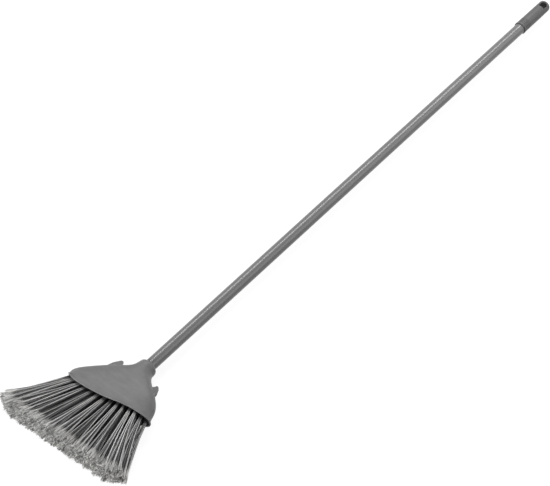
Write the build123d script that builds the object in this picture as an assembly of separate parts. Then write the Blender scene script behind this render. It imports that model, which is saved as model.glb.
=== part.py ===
from build123d import *
import os

# A telescopic fan broom, pushed shut. It is drawn upright, with the sweeping face at height 0, the handle
# up and the front towards -Y, and is laid on its back at the end. All sizes are in millimetres.

# Head cap. Drops are counted down from the neck's rim.
rim_height = 217.0
neck_wall = 6.1
neck_drop = 7.0
neck_round = 5.4
head_drop = 98.0
head_long_side = 94.0
head_short_side = 84.7
head_half_depth = 21.5
head_wall = 2.6
section_power = 2.8
section_blend = 1.5
section_points = 24
neck_sections = 3
depth_power = 0.7
cavity_top_drop = 32.0

# Lower hem of the cap, lowest on the long side.
hem_long_drop = 102.0
hem_low_drop = 113.3
hem_low_offset = 35.0
hem_mid_drop = 109.0
hem_short_low_drop = 100.7
hem_short_drop = 93.5
hem_long_slope = 1.0
hem_short_slope = 0.25
hem_lip_height = 1.8
hem_lip_proud = 0.5

# Ears on both sides of the cap, with a rounded notch between ear and neck. The short side's ear sits lower.
ear_reach = 45.5
ear_drop = 23.0
ear_short_lower = 4.5
ear_long_foot_reach = 57.0
ear_short_foot_reach = 52.0
ear_foot_drop = 48.0
ear_thickness = 5.0
ear_tip_width = 2.5
notch_radius = 9.5
notch_offset = 30.5
notch_drop = 21.0

# Brush block inside the cap.
block_face_drop = 90.0
block_thickness = 16.0
block_gap = 0.2

# Tufts and their holes. The sweeping face is straight and rises a little towards both of its rounded ends.
columns = 15
rows = 5
outer_row_share = 0.81
hole_radius = 2.5
hole_floor = 5.0
hole_edge = 1.2
tuft_gap = 0.15
tuft_spread_gap = 0.5
fan_long_side = 150.0
fan_short_side = 130.0
fan_half_depth = 22.0
fan_power = 4.0
fan_end_rise = 8.0
fan_end_power = 9.0
staple_height = 2.0
staple_width = 3.4
staple_wire = 0.8
staple_gap = 0.1

# Screws that hold the block in the cap. Each takes the place of a tuft in the middle row.
screw_columns = (3, 11)
block_screw_radius = 1.7
block_screw_head_radius = 3.2
block_screw_head_height = 2.2
block_screw_grip = 12.0
block_screw_gap = 0.1
boss_wall = 2.6

# Handle tubes.
tube_radius = 11.0
tube_wall = 0.6
bare_tube = 1115.0
socket_depth = 40.0
socket_floor = 2.8
socket_gap = 0.1
inner_wall = 0.5
running_gap = 0.1
press_gap = 0.04

# Core of the tube's lower end and the screw at the back of the neck.
core_length = 46.0
neck_screw_drop = 22.0
neck_screw_radius = 2.0
neck_screw_head_radius = 4.0
neck_screw_head_height = 2.6
neck_screw_bite = 14.0

# Guide bush in the outer tube's mouth.
bush_flange = 1.5
bush_length = 22.0
bush_wall = 0.76

# Grip.
grip_length = 93.0
grip_wall = 1.2
grip_ring_proud = 0.35
grip_ring_height = 4.0
grip_ring_round = 1.0
grip_taper = 0.3
grip_end_round = 8.0
skirt_depth = 14.0
skirt_gap = 0.4
skirt_end_gap = 0.5
grip_seat = 48.0
groove_count = 4
groove_pitch = 4.0
groove_width = 1.2
groove_depth = 0.35
hang_width = 13.0
hang_height = 16.0
hang_end_wall = 7.0
hang_turn = 15.0

# Twist lock inside the outer tube.
travel = 400.0
travel_stop_gap = 0.5
lock_gap = 0.1
plug_flange = 3.0
plug_length = 25.0
stud_radius = 2.45
stud_bite = 22.0
sleeve_length = 36.0
sleeve_roof = 4.0
sleeve_gap = 0.08
sleeve_edge = 1.3
taper_rise = 2.8
taper_length = 20.0
slit_count = 4
slit_width = 1.6
slit_length = 28.0
cone_gap = 0.15
cone_base = 3.0
key_gap = 0.2
key_length = 12.0
key_reach = 0.9
thread_pitch = 2.0
washer_width = 4.0
washer_thickness = 2.5
washer_gap = 0.5

# How many times its own size a cutting shape is drawn, so that it reaches past what it cuts.
cutter_share = 4.0

# How the cap flares: share of the way from the neck to the hem's corners, and the share of the long side's
# and of the short side's reach there.
flare = [
    (0.0, 0.0, 0.0),
    (0.08, 0.02, 0.01),
    (0.165, 0.065, 0.075),
    (0.265, 0.18, 0.215),
    (0.385, 0.37, 0.43),
    (0.54, 0.575, 0.665),
    (0.735, 0.815, 0.835),
    (1.0, 1.0, 1.0),
    (1.18, 1.06, 1.08),
]

# Radii and heights that follow from the sizes above.
socket_radius = tube_radius + socket_gap
neck_radius = socket_radius + neck_wall
tube_bore = tube_radius - tube_wall
inner_radius = tube_bore - press_gap - bush_wall - running_gap
inner_bore = inner_radius - inner_wall
skirt_radius = tube_radius + skirt_gap
grip_base_radius = skirt_radius + grip_wall
sleeve_radius = tube_bore - sleeve_gap
sleeve_mouth = sleeve_radius - sleeve_edge
sleeve_bore = sleeve_mouth - taper_rise
boss_radius = block_screw_radius + block_screw_gap + boss_wall
hole_depth = block_thickness - hole_floor
end_row_pitch = 2 * fan_half_depth / rows
face_height = rim_height - block_face_drop
block_top = face_height + block_thickness
lip_height = rim_height + bare_tube
tube_bottom = rim_height - socket_depth
tube_top = lip_height + skirt_depth - skirt_end_gap - bush_flange
bush_bottom = tube_top - bush_length
sleeve_top = bush_bottom - travel - travel_stop_gap
inner_bottom = sleeve_top + lock_gap + plug_flange
inner_top = lip_height + skirt_depth + grip_seat
sleeve_bottom = sleeve_top - sleeve_length
nut_top = sleeve_bottom + taper_length
nut_bottom = sleeve_bottom - cone_base
washer_top = nut_bottom - thread_pitch - washer_gap
washer_bottom = washer_top - washer_thickness
neck_screw_seat = neck_radius - neck_screw_head_height
neck_screw_height = rim_height - neck_screw_drop


def rod(radius, low, high, x=0.0, y=0.0):
    """A round bar along the handle, between two heights."""
    bar = Cylinder(radius, high - low, align=(Align.CENTER, Align.CENTER, Align.MIN))
    return bar.moved(Location((x, y, low)))


def taper_rod(low_radius, high_radius, low, high):
    """A cone along the handle, between two heights."""
    cone = Cone(low_radius, high_radius, high - low, align=(Align.CENTER, Align.CENTER, Align.MIN))
    return cone.moved(Location((0, 0, low)))


def cross_rod(radius, y_from, y_to, z, x=0.0):
    """A round bar from front to back, between two depths."""
    bar = Cylinder(radius, y_to - y_from, align=(Align.CENTER, Align.CENTER, Align.MIN))
    return bar.moved(Location((x, y_from, z), (-90, 0, 0)))


def reach_at(drop):
    """How far the cap's long side and short side have flared from the neck, 0 to 1, at a drop."""
    share = max(0.0, (drop - neck_drop) / (head_drop - neck_drop))
    for (low, long_low, short_low), (high, long_high, short_high) in zip(flare, flare[1:]):
        part = min(1.0, (share - low) / (high - low))
        reaches = long_low + part * (long_high - long_low), short_low + part * (short_high - short_low)
        if share <= high:
            break
    return reaches


def section_sizes(drop, inset):
    """Long reach, short reach, half depth and squareness of the cap at a drop."""
    long_reach, short_reach = reach_at(drop)
    reach = (long_reach + short_reach) / 2
    shrink = inset + neck_round * max(0.0, 1 - drop / neck_drop) ** 2
    long_side = neck_radius + (head_long_side - neck_radius) * long_reach - shrink
    short_side = neck_radius + (head_short_side - neck_radius) * short_reach - shrink
    depth = neck_radius + (head_half_depth - neck_radius) * reach ** depth_power - shrink
    power = 2.0 + (section_power - 2.0) * min(1.0, section_blend * reach)
    return long_side, short_side, depth, power


def section_wire(drop, inset):
    """Closed outline of the cap at a drop."""
    long_side, short_side, depth, power = section_sizes(drop, inset)
    middle = (short_side - long_side) / 2
    half = (short_side + long_side) / 2
    points = []
    for step in range(section_points):
        way = Vector(1, 0, 0).rotate(Axis.Z, 360 * step / section_points)
        size = (abs(way.X) ** power + abs(way.Y) ** power) ** (-1 / power)
        points.append(Vector(middle + half * way.X * size, depth * way.Y * size, rim_height - drop))
    return Wire([Edge.make_spline(points, periodic=True)])


def cap_body(inset, from_drop):
    """The body of the cap from a drop downwards, made smaller all round by an inset."""
    drops = [neck_drop * step / neck_sections for step in range(neck_sections)]
    drops = drops + [neck_drop + share * (head_drop - neck_drop) for share, _, _ in flare]
    drops = [from_drop] + [drop for drop in drops if drop > from_drop + hem_lip_height]
    return Solid.make_loft([section_wire(drop, inset) for drop in drops])


def below_hem(raised):
    """Everything below the hem's curve, with the curve raised by an amount."""
    side = head_long_side + head_short_side
    curve = [
        (-head_long_side - head_wall, hem_long_drop - hem_long_slope * head_wall),
        (-head_long_side, hem_long_drop),
        (-hem_low_offset, hem_low_drop),
        (0.0, hem_mid_drop),
        (hem_low_offset, hem_short_low_drop),
        (head_short_side, hem_short_drop),
        (head_short_side + head_wall, hem_short_drop - hem_short_slope * head_wall),
    ]
    points = [Vector(x, -side, rim_height - drop + raised) for x, drop in curve]
    hem = Edge.make_spline(points)
    low_left = Vector(-side, -side, -side)
    low_right = Vector(side, -side, -side)
    high_left = Vector(-side, -side, points[0].Z)
    high_right = Vector(side, -side, points[-1].Z)
    around = [high_left, points[0]], [points[-1], high_right], [high_right, low_right]
    around = around + ([low_right, low_left], [low_left, high_left])
    outline = Wire([hem] + [Edge.make_line(a, b) for a, b in around])
    return Solid.extrude(Face(outline), Vector(0, 2 * side, 0))


def ear(sign):
    """A thin ear on one side of the cap, with the notch towards the neck."""
    foot_reach = ear_short_foot_reach if sign > 0 else ear_long_foot_reach
    corners = [
        (notch_offset - notch_radius, ear_drop),
        (ear_reach - ear_tip_width, ear_drop),
        (ear_reach, ear_drop + ear_tip_width),
        ((ear_reach + foot_reach) / 2 + ear_tip_width / 2, (ear_drop + ear_foot_drop) / 2),
        (foot_reach, ear_foot_drop),
        (foot_reach - ear_thickness, ear_foot_drop + ear_thickness),
        (neck_radius / 2, ear_foot_drop + ear_thickness),
        (neck_radius / 2, ear_drop + notch_radius),
    ]
    level = rim_height - max(0, sign) * ear_short_lower
    points = [Vector(sign * x, -ear_thickness / 2, level - drop) for x, drop in corners]
    plate = Solid.extrude(Face(Wire.make_polygon(points)), Vector(0, ear_thickness, 0))
    return plate - cross_rod(notch_radius, -ear_thickness, ear_thickness, level - notch_drop, sign * notch_offset)


def oval_share(offset, half, power):
    """How much of a rounded outline's full width is left at an offset from its middle line."""
    return (1 - (abs(offset) / half) ** power) ** (1 / power)


def tuft_places():
    """Row, foot, end and end width of every tuft, and the feet whose place a screw takes."""
    edge = head_wall + block_gap + hole_radius + hole_edge
    long_side, short_side, depth, power = section_sizes(block_face_drop, edge)
    middle = (short_side - long_side) / 2
    half = (short_side + long_side) / 2
    foot_pitch = 2 * half / (columns - 1)
    row_pitch = 2 * outer_row_share * depth / (rows - 1)
    fan_middle = (fan_short_side - fan_long_side) / 2
    fan_half = (fan_short_side + fan_long_side) / 2
    tufts = []
    screws = []
    for row in range(rows):
        step = row - (rows - 1) / 2
        row_reach = half * oval_share(step * row_pitch, depth, power) + tuft_gap
        feet = [(middle - half + column * foot_pitch, step * row_pitch) for column in range(columns)]
        if step == 0:
            screws = [feet[column] for column in screw_columns]
        feet = [foot for foot in feet if foot not in screws and abs(foot[0] - middle) < row_reach]
        fan_reach = fan_half * oval_share(step * end_row_pitch, fan_half_depth, fan_power)
        end_pitch = 2 * fan_reach / len(feet)
        for place, foot in enumerate(feet):
            end_x = fan_middle - fan_reach + (place + 0.5) * end_pitch
            rise = fan_end_rise * (abs(end_x - fan_middle) / fan_half) ** fan_end_power
            tufts.append((row, foot, (end_x, step * end_row_pitch, rise), end_pitch / 2 - tuft_spread_gap))
    return tufts, screws


def on_line(foot, end, height):
    """Where a tuft's middle line passes a height."""
    slide = (face_height - height) / (face_height - end[2])
    return foot[0] + (end[0] - foot[0]) * slide, foot[1] + (end[1] - foot[1]) * slide


def round_at(radius, foot, end, height):
    """A level circle on a tuft's line at a height."""
    return Wire.make_circle(radius, Plane((*on_line(foot, end, height), height)))


def tuft(foot, end, half_x):
    """One tuft: a round foot in its hole that spreads to an oval end on the sweeping face."""
    root = round_at(hole_radius - tuft_gap, foot, end, face_height + hole_depth - staple_height)
    mouth = round_at(hole_radius - tuft_gap, foot, end, face_height)
    oval = Wire.make_ellipse(half_x, end_row_pitch / 2 - tuft_spread_gap, Plane(end))
    return Solid.make_loft([root, mouth, oval], ruled=True)


def tuft_hole(foot, end):
    """The blind hole of one tuft, cut a little past the block's face."""
    inner = round_at(hole_radius, foot, end, face_height + hole_depth)
    outer = round_at(hole_radius, foot, end, face_height - hole_edge)
    return Solid.make_loft([inner, outer], ruled=True)


def staple(foot, end):
    """The flat wire that anchors one tuft at the bottom of its hole."""
    height = face_height + hole_depth - staple_height / 2
    wire = Box(staple_width, staple_wire, staple_height - staple_gap)
    return wire.moved(Location((*on_line(foot, end, height), height)))


def make_head_cap(screws):
    kept = [rod(boss_radius, block_top, rim_height, *foot) for foot in screws]
    kept = kept + [rod(socket_radius + head_wall, tube_bottom - socket_floor, rim_height)]
    cavity = cap_body(head_wall, cavity_top_drop) - kept
    lip = cap_body(-hem_lip_proud, cavity_top_drop) & (below_hem(hem_lip_height) - below_hem(0))
    cap = cap_body(0, 0.0) + [ear(-1), ear(1)]
    cap = cap - below_hem(0) + lip - cavity
    cap = cap - rod(socket_radius, tube_bottom, rim_height + neck_round)
    pilot = block_screw_radius + block_screw_gap
    for foot in screws:
        cap = cap - rod(pilot, block_top - head_wall, block_top + block_screw_grip + block_screw_gap, *foot)
    outside = head_half_depth + head_wall
    cap = cap - cross_rod(neck_screw_head_radius + socket_gap, neck_screw_seat, outside, neck_screw_height)
    return cap - cross_rod(neck_screw_radius + socket_gap, 0, outside, neck_screw_height)


def make_brush_block(tufts, screws):
    slab = Box(cutter_share * head_long_side, cutter_share * head_half_depth, block_thickness)
    slab = slab.moved(Location((0, 0, face_height + block_thickness / 2)))
    block = cap_body(head_wall + block_gap, cavity_top_drop) & slab
    block = block - [tuft_hole(foot, end) for _, foot, end, _ in tufts]
    for foot in screws:
        sunk = face_height + block_screw_head_height + block_screw_gap
        block = block - rod(block_screw_head_radius + block_screw_gap, face_height - hole_edge, sunk, *foot)
        block = block - rod(block_screw_radius + block_screw_gap, face_height, block_top + hole_edge, *foot)
    return block


def make_block_screws(screws):
    made = []
    top = face_height + block_screw_head_height + block_screw_gap
    low = top - block_screw_head_height
    for foot in screws:
        head = rod(block_screw_head_radius, low, top, *foot)
        cross = Box(block_screw_head_radius, block_screw_radius / 2, block_screw_head_height)
        cross = cross + Box(block_screw_radius / 2, block_screw_head_radius, block_screw_head_height)
        head = head - cross.moved(Location((foot[0], foot[1], low)))
        made.append(head + rod(block_screw_radius, top, block_top + block_screw_grip, *foot))
    return made


def make_neck_screw():
    outer = neck_screw_seat + neck_screw_head_height
    head = cross_rod(neck_screw_head_radius, neck_screw_seat, outer, neck_screw_height)
    head = fillet(head.edges().sort_by(Axis.Y)[-1], neck_screw_head_height / 3)
    cross = Box(neck_screw_head_radius, neck_screw_head_height, neck_screw_radius / 2)
    cross = cross + Box(neck_screw_radius / 2, neck_screw_head_height, neck_screw_head_radius)
    head = head - cross.moved(Location((0, outer, neck_screw_height)))
    tip = neck_screw_seat - neck_screw_bite
    return head + cross_rod(neck_screw_radius, tip, neck_screw_seat, neck_screw_height)


def make_tube_plug():
    core = rod(tube_bore - press_gap, tube_bottom, tube_bottom + core_length)
    tip = neck_screw_seat - neck_screw_bite
    return core - cross_rod(neck_screw_radius + press_gap, tip - press_gap, tube_radius, neck_screw_height)


def make_outer_tube():
    tube = rod(tube_radius, tube_bottom, tube_top) - rod(tube_bore, tube_bottom, tube_top)
    return tube - cross_rod(neck_screw_radius + press_gap, 0, neck_radius, neck_screw_height)


def make_guide_bush():
    bush = rod(tube_radius, tube_top, tube_top + bush_flange)
    bush = bush + rod(tube_bore - press_gap, bush_bottom, tube_top)
    return bush - rod(inner_radius + running_gap, bush_bottom, tube_top + bush_flange)


def make_inner_tube():
    return rod(inner_radius, inner_bottom, inner_top) - rod(inner_bore, inner_bottom, inner_top)


def make_grip():
    end = lip_height + grip_length
    ring_radius = grip_base_radius + grip_ring_proud
    body = taper_rod(grip_base_radius, grip_base_radius - grip_taper, lip_height, end)
    body = fillet(body.edges().sort_by(Axis.Z)[-1], grip_end_round)
    for groove in range(groove_count):
        low = lip_height + grip_ring_height + (groove + 0.5) * groove_pitch
        outer = rod(ring_radius, low, low + groove_width)
        body = body - (outer - rod(grip_base_radius - groove_depth, low, low + groove_width))
    hang_low = end - hang_end_wall - hang_height
    arch = hang_low + hang_height - hang_width / 2
    across = cutter_share * grip_base_radius
    hole = Box(hang_width, across, arch - hang_low)
    hole = hole.moved(Location((0, 0, (arch + hang_low) / 2)))
    hole = hole + cross_rod(hang_width / 2, -across / 2, across / 2, arch)
    body = body - hole.rotate(Axis.Z, hang_turn)
    ring = rod(ring_radius, lip_height, lip_height + grip_ring_height)
    ring = fillet(ring.edges().filter_by(GeomType.CIRCLE), grip_ring_round)
    skirt = rod(skirt_radius, lip_height - skirt_gap, lip_height + skirt_depth)
    seat = rod(inner_radius + press_gap, lip_height, inner_top)
    return body + ring - skirt - seat


def make_lock_plug():
    plug = rod(inner_radius - running_gap, inner_bottom - plug_flange, inner_bottom)
    plug = plug + rod(inner_bore - press_gap, inner_bottom, inner_bottom + plug_length)
    return plug - rod(stud_radius + press_gap, inner_bottom - plug_flange, inner_bottom + stud_bite)


def make_lock_screw():
    return rod(stud_radius, washer_bottom, inner_bottom + stud_bite)


def make_expander_sleeve():
    sleeve = rod(sleeve_radius, sleeve_bottom, sleeve_top)
    sleeve = sleeve - rod(sleeve_bore, sleeve_bottom, sleeve_top - sleeve_roof)
    sleeve = sleeve - taper_rod(sleeve_mouth, sleeve_bore, sleeve_bottom, nut_top)
    sleeve = sleeve - rod(stud_radius + lock_gap, sleeve_bottom, sleeve_top)
    for slit in range(slit_count):
        cut = Box(tube_radius, slit_width, slit_length, align=(Align.MIN, Align.CENTER, Align.MIN))
        sleeve = sleeve - cut.moved(Location((0, 0, sleeve_bottom), (0, 0, 360 * slit / slit_count)))
    return sleeve


def make_cone_nut():
    nut = taper_rod(sleeve_mouth - cone_gap, sleeve_bore - cone_gap, sleeve_bottom, nut_top)
    nut = nut + rod(sleeve_mouth - cone_gap, nut_bottom, sleeve_bottom)
    key = Box(tube_bore - key_reach, slit_width - 2 * key_gap, key_length,
              align=(Align.MIN, Align.CENTER, Align.MIN))
    nut = nut + key.moved(Location((0, 0, sleeve_bottom)))
    return nut - rod(stud_radius + lock_gap, nut_bottom, nut_top)


def make_stop_washer():
    washer = rod(stud_radius + washer_width, washer_bottom, washer_top)
    return washer - rod(stud_radius + press_gap, washer_bottom, washer_top)


tufts, screw_feet = tuft_places()
nodes = {
    "head_cap": make_head_cap(screw_feet),
    "brush_block": make_brush_block(tufts, screw_feet),
    "tuft_staples": Compound([staple(foot, end) for _, foot, end, _ in tufts]),
    "block_screws": Compound(make_block_screws(screw_feet)),
    "tube_plug": make_tube_plug(),
    "neck_screw": make_neck_screw(),
    "outer_tube": make_outer_tube(),
    "guide_bush": make_guide_bush(),
    "inner_tube": make_inner_tube(),
    "lock_plug": make_lock_plug(),
    "lock_screw": make_lock_screw(),
    "expander_sleeve": make_expander_sleeve(),
    "cone_nut": make_cone_nut(),
    "stop_washer": make_stop_washer(),
    "grip": make_grip(),
}
for row in range(rows):
    made = [tuft(foot, end, half_x) for at, foot, end, half_x in tufts if at == row]
    nodes[f"bristle_row_{row + 1}"] = Compound(made)

# Laid on its back: the handle runs along +X, the front faces +Z, the long side +Y, and the origin is below
# the middle of the whole broom, on the floor.
box = Compound(list(nodes.values())).bounding_box()
middle = box.center()
lying = Plane(origin=(-middle.Z, middle.X, box.max.Y), x_dir=(0, -1, 0), z_dir=(1, 0, 0)).location

os.makedirs("parts", exist_ok=True)
for name, shape in nodes.items():
    export_step(shape.moved(lying), f"parts/{name}.step")
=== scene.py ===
from types import SimpleNamespace
import bpy
import numpy as np
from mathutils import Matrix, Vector


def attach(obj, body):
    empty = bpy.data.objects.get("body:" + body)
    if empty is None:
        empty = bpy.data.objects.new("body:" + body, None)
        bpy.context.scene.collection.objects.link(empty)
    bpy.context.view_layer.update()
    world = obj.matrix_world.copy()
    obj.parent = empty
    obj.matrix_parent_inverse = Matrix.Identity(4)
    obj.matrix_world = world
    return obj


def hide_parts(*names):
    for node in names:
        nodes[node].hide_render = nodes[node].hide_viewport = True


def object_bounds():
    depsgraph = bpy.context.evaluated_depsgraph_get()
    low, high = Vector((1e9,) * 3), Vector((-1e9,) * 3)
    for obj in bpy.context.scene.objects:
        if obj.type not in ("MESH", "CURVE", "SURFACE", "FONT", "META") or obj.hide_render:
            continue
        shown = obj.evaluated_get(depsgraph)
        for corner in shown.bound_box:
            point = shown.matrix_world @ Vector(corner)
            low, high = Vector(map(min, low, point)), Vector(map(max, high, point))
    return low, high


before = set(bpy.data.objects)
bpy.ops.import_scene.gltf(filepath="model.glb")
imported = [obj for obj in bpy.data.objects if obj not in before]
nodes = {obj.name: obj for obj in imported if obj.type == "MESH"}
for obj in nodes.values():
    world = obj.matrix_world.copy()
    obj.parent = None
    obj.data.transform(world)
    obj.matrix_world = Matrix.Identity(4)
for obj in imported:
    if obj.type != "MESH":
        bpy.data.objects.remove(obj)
cad_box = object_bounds()
scene = bpy.context.scene
scene.view_settings.view_transform = "Standard"


def look(thing, place, target):
    """Puts a camera or a light at a place and turns it to a point."""
    thing.location = place
    thing.rotation_euler = (Vector(target) - Vector(place)).to_track_quat("-Z", "Y").to_euler()


# Camera: the photograph looks down the broom from its sweeping end, 47 degrees above the floor.
# Its place and its aim are counted from the sweeping face.
sweeping_x = cad_box[0][0]
camera_data = bpy.data.cameras.new("camera")
camera_data.sensor_fit = "HORIZONTAL"
camera_data.sensor_width = 36.0
camera_data.lens = 134.18
camera = bpy.data.objects.new("camera", camera_data)
scene.collection.objects.link(camera)
look(camera, (sweeping_x - 1.3813, -1.5707, 2.7161), (sweeping_x + 0.5722, 0.0033, 0.0221))
scene.camera = camera


# Node helpers. Most values of a noise lie between these two.
noise_low = 0.3
noise_high = 0.7

# Sockets of a Mix node that mixes colours.
mix_first = 6
mix_second = 7
mix_result = 2


def new_material(name):
    """A material with its node tree and its shader."""
    material = bpy.data.materials.new(name)
    material.use_nodes = True
    return material, material.node_tree, material.node_tree.nodes["Principled BSDF"]


def feed(tree, socket, value):
    """Links another node's output into a socket, or sets a fixed value there."""
    if isinstance(value, bpy.types.NodeSocket):
        tree.links.new(value, socket)
    else:
        socket.default_value = value


def add(tree, kind, inputs=None, **settings):
    """A node with its settings and what its inputs are fed with."""
    node = tree.nodes.new(kind)
    for name, value in settings.items():
        setattr(node, name, value)
    for key, value in (inputs or {}).items():
        feed(tree, node.inputs[key], value)
    return node


def math_node(tree, operation, first, second):
    """One sum on two sockets or numbers."""
    return add(tree, "ShaderNodeMath", {0: first, 1: second}, operation=operation).outputs[0]


def spread(tree, source, low, high, from_low=0.0, from_high=1.0):
    """A value moved from one range to another."""
    inputs = {"Value": source, "From Min": from_low, "From Max": from_high, "To Min": low, "To Max": high}
    return add(tree, "ShaderNodeMapRange", inputs).outputs["Result"]


def mix_colour(tree, factor, first, second):
    """A colour between two colours, each of them a socket or a fixed colour."""
    inputs = {"Factor": factor, mix_first: first, mix_second: second}
    return add(tree, "ShaderNodeMix", inputs, data_type="RGBA").outputs[mix_result]


def grey(tree, source, dark, light, tint=(1.0, 1.0, 1.0)):
    """A grey between two levels, chosen by a value."""
    low = tuple(dark * t for t in tint) + (1.0,)
    high = tuple(light * t for t in tint) + (1.0,)
    return mix_colour(tree, source, low, high)


def noise(tree, size, detail=2.0, stretch=(1.0, 1.0, 1.0), roughness=0.5):
    """Noise in object space, with about this size of patch in metres."""
    where = add(tree, "ShaderNodeTexCoord").outputs["Object"]
    scale = tuple(1.0 / (size * s) for s in stretch)
    moved = add(tree, "ShaderNodeMapping", {"Vector": where, "Scale": scale}).outputs["Vector"]
    inputs = {"Vector": moved, "Scale": 1.0, "Detail": detail, "Roughness": roughness}
    return add(tree, "ShaderNodeTexNoise", inputs).outputs["Fac"]


def two_noises(tree, first, share, second):
    """Two noises added by their shares, from 0 to 1."""
    first = math_node(tree, "MULTIPLY", first, share)
    second = math_node(tree, "MULTIPLY", second, 1.0 - share)
    return spread(tree, math_node(tree, "ADD", first, second), 0.0, 1.0, noise_low, noise_high)


def bump(tree, shader, height, strength, distance, normal=None):
    """Small relief on a shader's surface, or on an already softened normal."""
    inputs = {"Height": height, "Strength": strength, "Distance": distance}
    if normal is not None:
        inputs["Normal"] = normal
    feed(tree, shader.inputs["Normal"], add(tree, "ShaderNodeBump", inputs).outputs["Normal"])


def edge_mask(tree, radius):
    """1 along sharp outer edges within a radius and 0 on flat ground, and the softened normal."""
    soft = add(tree, "ShaderNodeBevel", {"Radius": radius}, samples=6).outputs["Normal"]
    true = add(tree, "ShaderNodeNewGeometry").outputs["Normal"]
    dot = add(tree, "ShaderNodeVectorMath", {0: soft, 1: true}, operation="DOT_PRODUCT").outputs["Value"]
    return spread(tree, dot, 1.0, 0.0, from_low=0.80, from_high=0.995), soft


# Materials. A level is a grey's brightness, and its swing is how far it varies in patches.
edge_radius = 0.0009
edge_wear_highlight_gain = 1.9
handled_swing = 0.07
tube_swing = 0.07
scuff_swing = 0.12
plating_dark = 0.85
plating_light = 1.12
plating_tint = (1.0, 1.0, 1.02)
plating_smooth = 0.08
plating_dull = 0.1


def moulded_plastic(name, level, roughness, grain, grain_size, swing, edge_wear_and_highlight):
    """Moulded plastic: spark-eroded grain, faint flow marks, patches dulled by hands, edges lightened as
    wear and as a painted highlight.
    """
    material, tree, shader = new_material(name)
    flow = noise(tree, size=0.02, detail=4.0, stretch=(0.5, 1.2, 1.0), roughness=0.6)
    fine = noise(tree, size=0.0016)
    marks = two_noises(tree, flow, 0.7, fine)
    base = grey(tree, marks, level * (1 - swing), level * (1 + swing))
    mask, soft = edge_mask(tree, edge_radius)
    # The lighter edge colour is partly wear and partly a painted highlight along the edges.
    worn_and_lit_edge = (min(1.0, level * edge_wear_highlight_gain),) * 3 + (1.0,)
    colour = mix_colour(tree, math_node(tree, "MULTIPLY", mask, edge_wear_and_highlight), base, worn_and_lit_edge)
    feed(tree, shader.inputs["Base Color"], colour)
    handled = noise(tree, size=0.06, detail=5.0, roughness=0.65)
    smooth = roughness - handled_swing
    dull = roughness + handled_swing
    feed(tree, shader.inputs["Roughness"], spread(tree, handled, smooth, dull, noise_low, noise_high))
    pits = noise(tree, size=grain_size, detail=3.0, roughness=0.7)
    bump(tree, shader, height=pits, normal=soft, strength=0.6, distance=grain)
    shader.inputs["Specular IOR Level"].default_value = 0.35
    return material


def coated_tube(name, level, roughness):
    """Plastic-coated steel tube: drawn streaks along it, orange-peel skin, a few dull scuffs."""
    material, tree, shader = new_material(name)
    drawn = noise(tree, size=0.0012, detail=3.0, stretch=(60.0, 1.0, 1.0))
    cloud = noise(tree, size=0.05, detail=4.0, stretch=(3.0, 1.0, 1.0), roughness=0.6)
    streaks = two_noises(tree, drawn, 0.6, cloud)
    colour = grey(tree, streaks, level * (1 - tube_swing), level * (1 + tube_swing))
    feed(tree, shader.inputs["Base Color"], colour)
    scuff = noise(tree, size=0.006, detail=5.0, stretch=(8.0, 1.0, 1.0), roughness=0.7)
    scuffed = spread(tree, scuff, 0.0, scuff_swing, from_low=0.62, from_high=0.8)
    feed(tree, shader.inputs["Roughness"], math_node(tree, "ADD", scuffed, roughness))
    peel = noise(tree, size=0.0018, stretch=(1.6, 1.0, 1.0))
    bump(tree, shader, height=peel, strength=0.05, distance=0.00003)
    shader.inputs["Specular IOR Level"].default_value = 0.5
    return material


def bare_steel(name, level, roughness, stretch):
    """Zinc-plated steel: fine drawing or turning marks and cloudy plating."""
    material, tree, shader = new_material(name)
    marks = noise(tree, size=0.0006, detail=3.0, stretch=stretch)
    cloud = noise(tree, size=0.008, detail=4.0, roughness=0.6)
    plating = two_noises(tree, marks, 0.5, cloud)
    colour = grey(tree, plating, level * plating_dark, level * plating_light, plating_tint)
    feed(tree, shader.inputs["Base Color"], colour)
    smooth = roughness - plating_smooth
    dull = roughness + plating_dull
    feed(tree, shader.inputs["Roughness"], spread(tree, marks, smooth, dull, noise_low, noise_high))
    bump(tree, shader, height=marks, strength=0.3, distance=0.00003)
    shader.inputs["Metallic"].default_value = 1.0
    return material


def filament(name):
    """Plastic filament: each strand has its own shade (u), and its split tip is pale and dull (v)."""
    material, tree, shader = new_material(name)
    place = add(tree, "ShaderNodeUVMap", uv_map="OFBake").outputs["UV"]
    parts = add(tree, "ShaderNodeSeparateXYZ", {"Vector": place})
    strand, along = parts.outputs["X"], parts.outputs["Y"]
    body = grey(tree, strand, dark=0.015, light=0.88, tint=(1.0, 0.995, 0.985))
    tip = grey(tree, strand, dark=0.15, light=1.0, tint=(1.0, 0.995, 0.975))
    pale = spread(tree, along, 0.0, 1.0, from_low=0.89, from_high=0.94)
    feed(tree, shader.inputs["Base Color"], mix_colour(tree, pale, body, tip))
    dull = spread(tree, along, 0.38, 0.7, from_low=0.7, from_high=0.95)
    feed(tree, shader.inputs["Roughness"], dull)
    return material


cap_plastic = moulded_plastic(
    "cap_plastic", level=0.178, roughness=0.46, grain=0.00005, grain_size=0.0011, swing=0.14, edge_wear_and_highlight=0.5)
grip_plastic = moulded_plastic(
    "grip_plastic", level=0.112, roughness=0.50, grain=0.00007, grain_size=0.0013, swing=0.04, edge_wear_and_highlight=0.35)
block_plastic = moulded_plastic(
    "block_plastic", level=0.060, roughness=0.55, grain=0.00006, grain_size=0.0012, swing=0.05, edge_wear_and_highlight=0.3)
lock_plastic = moulded_plastic(
    "lock_plastic", level=0.040, roughness=0.45, grain=0.00005, grain_size=0.0010, swing=0.06, edge_wear_and_highlight=0.4)
coated_steel = coated_tube("coated_steel", level=0.168, roughness=0.26)
inner_steel = bare_steel("inner_steel", level=0.40, roughness=0.40, stretch=(90.0, 1.0, 1.0))
steel = bare_steel("steel", level=0.55, roughness=0.34, stretch=(1.0, 1.0, 1.0))
bristle = filament("bristle")

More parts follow.
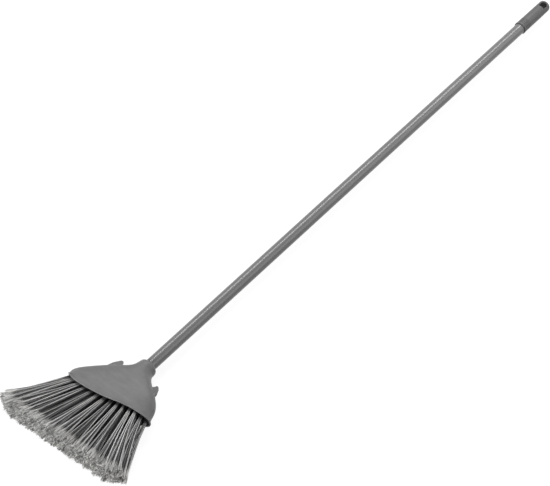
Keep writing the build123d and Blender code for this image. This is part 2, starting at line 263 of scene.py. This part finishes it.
finishes = {
    "head_cap": cap_plastic,
    "brush_block": block_plastic,
    "tuft_staples": steel,
    "block_screws": steel,
    "tube_plug": lock_plastic,
    "neck_screw": steel,
    "outer_tube": coated_steel,
    "guide_bush": lock_plastic,
    "inner_tube": inner_steel,
    "lock_plug": lock_plastic,
    "lock_screw": steel,
    "expander_sleeve": lock_plastic,
    "cone_nut": lock_plastic,
    "stop_washer": steel,
    "grip": grip_plastic,
}
for name, material in finishes.items():
    nodes[name].data.materials.clear()
    nodes[name].data.materials.append(material)


# Bristles: every CAD tuft becomes clumps of strands with split tips. A place along a strand, t, is 0 at the
# block's face and 1 at the tip. Lengths are in metres.
seed = 40
clump_grid = np.array([5, 3])
strands_per_clump = 7
frays_per_strand = 4
strand_radius = 0.00032
fray_radius = 0.00029
fray_taper = 0.15
fray_start = 0.86
fray_rings = np.array([fray_start, 0.91, 0.955, 1.0])
fray_opening = 1.3
tube_sides = 3
floor_gap = 0.0006
full_turn = 6.28
golden_angle = 2.399963

# How much of its room a tuft fills along its way, in the outer rows and in the inner ones, which leave no
# floor to be seen from above, and how much of its share of the tuft a clump fills.
fill_rings = np.array([0.0, 0.09, 0.19, 0.3, 0.42, 0.56, 0.7, 0.8, 0.88, 1.0])
tuft_fill = np.array([0.42, 0.47, 0.52, 0.59, 0.67, 0.76, 0.85, 0.92, 0.97, 1.04])
core_fill = np.array([0.42, 0.75, 0.95, 1.0, 1.0, 1.0, 1.0, 1.0, 1.0, 1.04])
clump_fill = np.array([1.0, 1.0, 0.78, 0.62, 0.54, 0.50, 0.48, 0.52, 0.66, 1.0])

# Rings of a strand: just past the cap's hem, where a painted shadow keeps it dark, and on the rest of its
# way.
hem_step = 0.002
hem_steps = np.array([0.0, 0.02, 0.045])
hem_painted_shadow = np.array([0.22, 0.45, 1.0])
open_rings = np.array([0.3, 0.42, 0.56, 0.74, 0.87, 1.0])

# How far each row leans out at its long and at its short end, and how much further its tips rise there.
row_lean = {1: (1.08, 1.05), 2: (1.0, 1.0), 3: (1.0, 1.0), 4: (0.99, 0.93), 5: (1.05, 0.96)}
row_rise = {1: (0.003, 0.003), 2: (0.002, 0.002), 3: (0.0, 0.002), 4: (0.0, 0.003), 5: (0.0, 0.006)}
rise_power = 3
end_rise = 0.007
end_power = 7

# How full each row is, and its painted shade: the inner rows are darkened as painted shade, except in their
# last tufts; 1 is no shade.
row_fill = {1: tuft_fill, 2: core_fill, 3: core_fill, 4: core_fill, 5: tuft_fill}
row_painted_shade = {1: 1.0, 2: 0.15, 3: 0.12, 4: 0.15, 5: 1.0}
painted_shade_step = 0.6

# Half the depth that a tuft has for itself, at the block's face and at the tips.
depth_room = (0.0030, 0.0046)

# How far the last tufts bow sideways between block and tip, at the short and at the long end.
short_bow = 0.0035
long_bow = 0.0018
bow_power = 0.7

# The last tuft of a row keeps the CAD tuft's width near the block, and opens at this rate after a while.
outer_opening = 3
outer_hold = 0.6

# How much sooner the pale tips start towards the long end.
early_start = 0.04
early_power = 4

# Shades, from 0 to 1. Light and dark clumps alternate as lit and shaded copies of one grey, which is
# painted light and shade, and clumps further in than the skin get painted shade for the shadow inside a
# tuft.
painted_lit_clump = (0.6, 1.0)
painted_shaded_clump = (0.02, 0.3)
skin_share = 0.5
core_painted_shade = 0.03
root_shade = 0.55
root_part = 0.4
root_length = 0.2
flag_shade = 0.85
pale_start = 0.89
pale_length = 0.05
tip_clump_swing = 0.1
tip_strand_swing = 1.6
tip_darkest = -0.32
strand_shade = 0.06
side_shade = 0.004

# How much clumps, strands and split ends differ in place, length and in where their pale tips start.
home_jitter = 0.28
nearest_strand = 0.05
square_limit = 1.1
clump_length = 0.0013
strand_length = 0.0013
fray_length = 0.0010
clump_flag = 0.015
strand_flag = 0.03
clump_drift = 0.0010
outer_drift = 0.0004
stray_share = 0.03
stray_drift = 4
wave_height = 0.0003
wave_turn = 8
fray_splay = 0.0008
fray_kink = 0.0004

# Tolerances for finding the tufts in a row's mesh.
merge_digits = 6
plane_digits = 5
plane_gap = 1e-5


def joined_points(mesh):
    """A mesh's points, merged, and for each of them a label that all points joined to it share."""
    points = np.empty(len(mesh.vertices) * 3)
    mesh.vertices.foreach_get("co", points)
    points = points.reshape(-1, 3)
    rounded = points.round(merge_digits)
    _, first, merged = np.unique(rounded, axis=0, return_index=True, return_inverse=True)
    points = points[first]
    ends = np.empty(len(mesh.edges) * 2, dtype=np.int64)
    mesh.edges.foreach_get("vertices", ends)
    pairs = merged.ravel()[ends.reshape(-1, 2)]
    label = np.arange(len(points))
    while True:
        lowest = np.minimum(label[pairs[:, 0]], label[pairs[:, 1]])
        before = label.copy()
        np.minimum.at(label, pairs[:, 0], lowest)
        np.minimum.at(label, pairs[:, 1], lowest)
        label = label[label]
        if (label == before).all():
            return points, label


def middle_of(points):
    """The middle of the box around some points."""
    return (points.max(0) + points.min(0)) / 2


def tufts_of(node):
    """A row's tufts from side to side, each with the middles of its foot in the block's hole, of its mouth
    at the block's face and of its end, and with the end's half widths and the mouth's radius."""
    points, label = joined_points(node.data)
    planes = np.unique(points[:, 0].round(plane_digits))
    mouth_x = planes[-2]
    tufts = []
    for key in np.unique(label):
        own = points[label == key]
        x = own[:, 0]
        foot = own[x > x.max() - plane_gap]
        mouth = own[abs(x - mouth_x) < 2 * plane_gap]
        end = own[x < x.min() + plane_gap]
        half = (end.max(0) - end.min(0)) / 2
        radius = (mouth.max(0) - mouth.min(0))[1] / 2
        tufts.append(SimpleNamespace(
            foot=middle_of(foot), mouth=middle_of(mouth), end=middle_of(end), half=half, radius=radius))
    return sorted(tufts, key=lambda tuft: tuft.mouth[1])


def hem_line():
    """How far down the cap's hem reaches at each place across the head."""
    corners = np.array([corner.co for corner in nodes["head_cap"].data.vertices])
    across = np.arange(corners[:, 1].min(), corners[:, 1].max(), hem_step)
    reach = [corners[abs(corners[:, 1] - y) < hem_step, 0].min() for y in across]
    return across, np.array(reach)


def tubes(paths, radii, shade, along, twist):
    """Vertices, walls, end caps and UVs of thin three-sided tubes along many paths at once."""
    count, steps = paths.shape[:2]
    turn = twist[:, None] + 2 * np.pi * np.arange(tube_sides) / tube_sides
    ring = np.stack([np.zeros_like(turn), np.cos(turn), np.sin(turn)], -1)
    vertices = paths[:, :, None, :] + radii[:, :, None, None] * ring[:, None]
    index = np.arange(count * steps * tube_sides).reshape(count, steps, tube_sides)
    after = np.roll(index, -1, axis=2)
    walls = np.stack([index[:, :-1], after[:, :-1], after[:, 1:], index[:, 1:]], -1)
    caps = np.concatenate([index[:, 0, ::-1], index[:, -1]])
    u = np.broadcast_to(shade[:, :, None], index.shape) + side_shade * np.arange(tube_sides)
    v = np.broadcast_to(along[:, :, None], index.shape)
    return vertices.reshape(-1, 3), walls.reshape(-1, 4), caps, np.stack([u.ravel(), v.ravel()], 1)


def clump_plan(outer, random):
    """Where a tuft's clumps sit in its square, from -1 to 1 each way, and how they differ."""
    cells = np.stack(np.meshgrid(*[np.arange(count) for count in clump_grid]), -1).reshape(-1, 2)
    count = len(cells)
    homes = (cells + 0.5 + random.uniform(-home_jitter, home_jitter, cells.shape)) / clump_grid * 2 - 1
    skin = (abs(homes[:, 1]) > skin_share) | (outer & (abs(homes[:, 0]) > skin_share))
    # Light and dark clumps alternate as painted light and shade on one grey filament.
    stripe = (cells.sum(1) + random.integers(2)) % 2
    light = random.uniform(*painted_lit_clump, count)
    dark = random.uniform(*painted_shaded_clump, count)
    # Clumps inside the skin get painted shade.
    return SimpleNamespace(
        count=count,
        homes=homes,
        skin=skin,
        shade=np.where(stripe, light, dark) * np.where(skin, 1.0, core_painted_shade),
        length=random.normal(0, clump_length, count),
        flag=random.normal(0, clump_flag, count),
        drift=random.normal(0, outer_drift if outer else clump_drift, (count, 2)))


def strand_plan(clumps, early, random):
    """Where a tuft's strands sit in their clumps, and how they differ."""
    own = np.repeat(np.arange(clumps.count), strands_per_clump)
    count = len(own)
    turn = np.arange(count) * golden_angle + random.uniform(0, full_turn)
    away = np.sqrt(random.uniform(nearest_strand, 1.0, count))
    offset = np.stack([away * np.cos(turn), away * np.sin(turn)], 1) / clump_grid
    shade = np.clip(clumps.shade[own] + random.normal(0, strand_shade, count), 0.0, 1.0)
    flag = clumps.flag[own] + random.normal(0, strand_flag, count) + early
    clump_tip = tip_clump_swing * random.random(clumps.count)[own]
    tip_shade = clump_tip + tip_strand_swing * random.random(count) + tip_darkest
    length = clumps.length[own] + random.normal(0, strand_length, count)
    drift = clumps.drift[own]
    drift[random.random(count) < stray_share] *= stray_drift
    return SimpleNamespace(
        count=count, own=own, offset=offset, shade=shade, flag=flag, tip_shade=tip_shade, length=length,
        drift=drift)


def strand_paths(tuft, row, spot, clumps, strands, random):
    """Paths of a tuft's strands, the places along them, and where the hem is. A tuft is round at the block
    and square at the tips."""
    mouth = tuft.mouth
    end = tuft.end.copy()
    end[1] = row.lean_out(end[1])
    hem_at = (mouth[0] - np.interp(mouth[1], hem_across, hem_reach)) / (mouth[0] - end[0])
    t = np.concatenate([[0.0], hem_at + hem_steps, open_rings])
    centre = mouth + (end - mouth) * t[:, None]
    centre[:, 1] += spot.bow * np.sin(np.pi * t ** bow_power)

    plain = tuft.radius + (tuft.half[1:] - tuft.radius) * t[:, None]
    room = row.room[0] + (row.room[1] - row.room[0]) * t[:, None]
    full = room * np.interp(t, fill_rings, row.fill)[:, None]
    opened = np.clip(t * outer_opening - outer_hold, 0, 1)[:, None] if spot.outer else 1.0
    reach = plain + (full - plain) * opened

    gathered = np.interp(t, fill_rings, clump_fill)[:, None]
    square = clumps.homes[strands.own][:, None] + strands.offset[:, None] * gathered
    square = np.clip(square, -square_limit, square_limit)
    disc = square * np.sqrt(1 - np.clip(square[:, :, ::-1], -1, 1) ** 2 / 2)
    place = disc + (square - disc) * t[:, None] ** 2
    down = np.broadcast_to(centre[:, :1], (strands.count, len(t), 1))
    paths = np.concatenate([down, place * reach + centre[:, 1:]], 2)

    paths[:, :, 1:] += strands.drift[:, None] * t[:, None] ** 2
    wave_start = random.uniform(0, full_turn, (strands.count, 1))
    paths[:, :, 1] += np.sin(t * wave_turn + wave_start) * wave_height * t
    tip_rise = row.rise_out(paths[:, -1, 1]) - row.rise_out(end[1])
    paths[:, :, 0] += (strands.length + tip_rise)[:, None] * t ** 2
    paths = np.concatenate([paths[:, :1] + (tuft.foot - mouth), paths], 1)
    paths[:, :, 2] = np.maximum(paths[:, :, 2], floor_gap)
    return paths, np.concatenate([[0.0], t]), hem_at


def strand_shades(spot, clumps, strands, t, hem_at):
    """Shades along a tuft's strands: more alike at the root, with painted shade in the inner rows and the
    core, and a painted shadow under the hem.
    """
    apart = np.clip(t / root_length, root_part, 1.0)
    packed = np.where(clumps.skin[strands.own], root_shade, core_painted_shade)[:, None]
    # Painted shade for the inner rows and the core, then a painted shadow just past the hem.
    shade = spot.clean * (packed + (strands.shade[:, None] - packed) * apart)
    return shade * np.interp(t, hem_at + hem_steps, hem_painted_shadow)


def fray_tubes(paths, t, strands, body_shade, random):
    """The split ends of a tuft's strands, which open towards the tips and turn pale there."""
    base = np.empty((strands.count, len(fray_rings), 3))
    for axis in range(3):
        base[:, :, axis] = [np.interp(fray_rings, t, line) for line in paths[:, :, axis]]
    base = np.repeat(base, frays_per_strand, 0)
    count = len(base)
    open_up = ((fray_rings - fray_start) / (1 - fray_start)) ** fray_opening
    splay = random.normal(0, fray_splay, (count, 1, 2))
    kink = random.normal(0, fray_kink, (count, len(fray_rings), 2))
    base[:, :, 1:] += (splay + kink) * open_up[:, None]
    base[:, :, 0] += random.normal(0, fray_length, (count, 1)) * open_up
    base[:, :, 2] = np.maximum(base[:, :, 2], floor_gap)
    thin = fray_radius * (1 - fray_taper * open_up)
    tip_shade = np.repeat(strands.tip_shade, frays_per_strand)[:, None]
    tip_shade = np.clip(flag_shade + (tip_shade - flag_shade) * open_up, 0.0, 1.0)
    along = fray_rings + np.repeat(strands.flag, frays_per_strand)[:, None]
    body_shade = np.repeat(body_shade[:, None], frays_per_strand, 0)
    pale = np.clip((along - pale_start) / pale_length, 0.0, 1.0)
    shade = body_shade + (tip_shade - body_shade) * pale
    twist = random.uniform(0, full_turn, count)
    return tubes(base, np.repeat(thin[None], count, 0), shade, along, twist)


def tuft_tubes(tuft, row, spot, random):
    """The strands of one tuft, up to where they split, and their split ends."""
    clumps = clump_plan(spot.outer, random)
    strands = strand_plan(clumps, spot.early, random)
    paths, t, hem_at = strand_paths(tuft, row, spot, clumps, strands, random)
    twist = random.uniform(0, full_turn, strands.count)
    whole = t[:-1]
    thick = np.full((strands.count, len(whole)), strand_radius)
    shade = strand_shades(spot, clumps, strands, whole, hem_at)
    bodies = tubes(paths[:, :-1], thick, shade, whole + strands.flag[:, None], twist)
    return [bodies, fray_tubes(paths, t, strands, shade[:, -1], random)]


def row_plan(number, tufts):
    """The room that a row's tufts have, and how they lean and rise towards its ends."""
    long_lean, short_lean = row_lean[number]
    long_rise, short_rise = row_rise[number]
    feet = [tuft.mouth[1] for tuft in tufts]
    ends = [tuft.end[1] for tuft in tufts]
    middle = (ends[0] + ends[-1]) / 2
    reach = (ends[-1] - ends[0]) / 2
    steps = len(tufts) - 1
    root_room = (feet[-1] - feet[0]) / steps / 2
    tip_room = reach * sum(row_lean[number]) / 2 / steps

    def lean_out(y):
        return middle + (y - middle) * (long_lean if y > middle else short_lean)

    def rise_out(y):
        share = (y - middle) / reach
        extra = np.where(share > 0, long_rise, short_rise)
        return end_rise * abs(share) ** end_power + extra * abs(share) ** rise_power

    return SimpleNamespace(
        middle=middle,
        reach=reach,
        room=np.array([[root_room, depth_room[0]], [tip_room, depth_room[1]]]),
        fill=row_fill[number],
        lean_out=lean_out,
        rise_out=rise_out)


def tuft_spot(number, row, tuft, place, count):
    """What depends on a tuft's place in its row."""
    from_end = min(place, count - 1 - place)
    to_long_end = max(0.0, (tuft.end[1] - row.middle) / row.reach)
    return SimpleNamespace(
        outer=from_end == 0,
        bow=(long_bow if place > count / 2 else short_bow) / (1 + from_end) ** 2,
        # Painted shade of the inner rows, lifted towards the ends of the row.
        clean=max(row_painted_shade[number], 1 - painted_shade_step * from_end),
        early=early_start * to_long_end ** early_power)


def brush_row(number):
    """One row of tufts as a mesh that stands for its CAD node."""
    name = f"bristle_row_{number}"
    random = np.random.default_rng(seed + number)
    tufts = tufts_of(nodes[name])
    row = row_plan(number, tufts)
    made = []
    for place, tuft in enumerate(tufts):
        made += tuft_tubes(tuft, row, tuft_spot(number, row, tuft, place, len(tufts)), random)
    starts = np.cumsum([0] + [len(part[0]) for part in made])
    vertices = np.concatenate([part[0] for part in made])
    walls = np.concatenate([part[1] + start for part, start in zip(made, starts)])
    caps = np.concatenate([part[2] + start for part, start in zip(made, starts)])
    uv = np.concatenate([part[3] for part in made])

    mesh = bpy.data.meshes.new(f"strands_{number}")
    mesh.from_pydata(vertices, [], walls.tolist() + caps.tolist())
    layer = mesh.uv_layers.new(name="OFBake")
    loops = np.concatenate([walls.ravel(), caps.ravel()])
    layer.data.foreach_set("uv", uv[loops].ravel())
    mesh.materials.append(bristle)
    mesh.update()
    piece = bpy.data.objects.new(f"strands_{number}", mesh)
    scene.collection.objects.link(piece)
    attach(piece, "broom")
    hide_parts(name)


hem_across, hem_reach = hem_line()
for number in range(1, 6):
    brush_row(number)


# Floor and light. The floor and the sky are white where the camera sees them, and light the object less.
floor_half = 12.0
floor_z = -0.0003
floor_bounce = 0.40
floor_shadow = 0.22
floor_glow = 0.90
sky_light = 0.17
sky_seen = 1.0
white = (1, 1, 1, 1)


def seen_directly(tree):
    """1 for what the camera sees, also in a reflection or through glass."""
    path = add(tree, "ShaderNodeLightPath")
    seen = math_node(tree, "MAXIMUM", path.outputs["Is Camera Ray"], path.outputs["Is Glossy Ray"])
    return math_node(tree, "MAXIMUM", seen, path.outputs["Is Transmission Ray"])


def matt(tree, level):
    """A matt grey surface."""
    return add(tree, "ShaderNodeBsdfDiffuse", {"Color": (level, level, level, 1)}).outputs[0]


floor_material = bpy.data.materials.new("floor")
floor_material.use_nodes = True
tree = floor_material.node_tree
tree.nodes.clear()
glow = add(tree, "ShaderNodeEmission", {"Color": white, "Strength": floor_glow})
bright = add(tree, "ShaderNodeAddShader", {0: matt(tree, floor_shadow), 1: glow.outputs[0]})
inputs = {0: seen_directly(tree), 1: matt(tree, floor_bounce), 2: bright.outputs[0]}
both = add(tree, "ShaderNodeMixShader", inputs)
add(tree, "ShaderNodeOutputMaterial", {"Surface": both.outputs[0]})

corners = [(x * floor_half, y * floor_half, floor_z) for x, y in ((-1, -1), (1, -1), (1, 1), (-1, 1))]
floor_mesh = bpy.data.meshes.new("floor")
floor_mesh.from_pydata(corners, [], [(0, 1, 2, 3)])
floor_mesh.materials.append(floor_material)
floor = bpy.data.objects.new("floor", floor_mesh)
scene.collection.objects.link(floor)

world = bpy.data.worlds.new("world")
world.use_nodes = True
scene.world = world
tree = world.node_tree
sky = tree.nodes["Background"]
feed(tree, sky.inputs["Strength"], spread(tree, seen_directly(tree), sky_light, sky_seen))
sky.inputs["Color"].default_value = white


def soft_box(name, place, target, width, height, power):
    """A rectangular soft light that looks at a point."""
    data = bpy.data.lights.new(name, "AREA")
    data.shape = "RECTANGLE"
    data.size = width
    data.size_y = height
    data.energy = power
    light = bpy.data.objects.new(name, data)
    scene.collection.objects.link(light)
    look(light, place, target)


soft_box("key", (1.7, 0.55, 2.1), (1.44, 0.0, 0.0), width=2.9, height=0.6, power=54)
soft_box("front", (-2.5, 0.8, 0.6), (-0.7, 0.0, 0.0), width=1.8, height=0.9, power=62)
soft_box("fill", (1.3, -1.6, 1.15), (0.65, 0.0, 0.0), width=2.6, height=1.5, power=19)
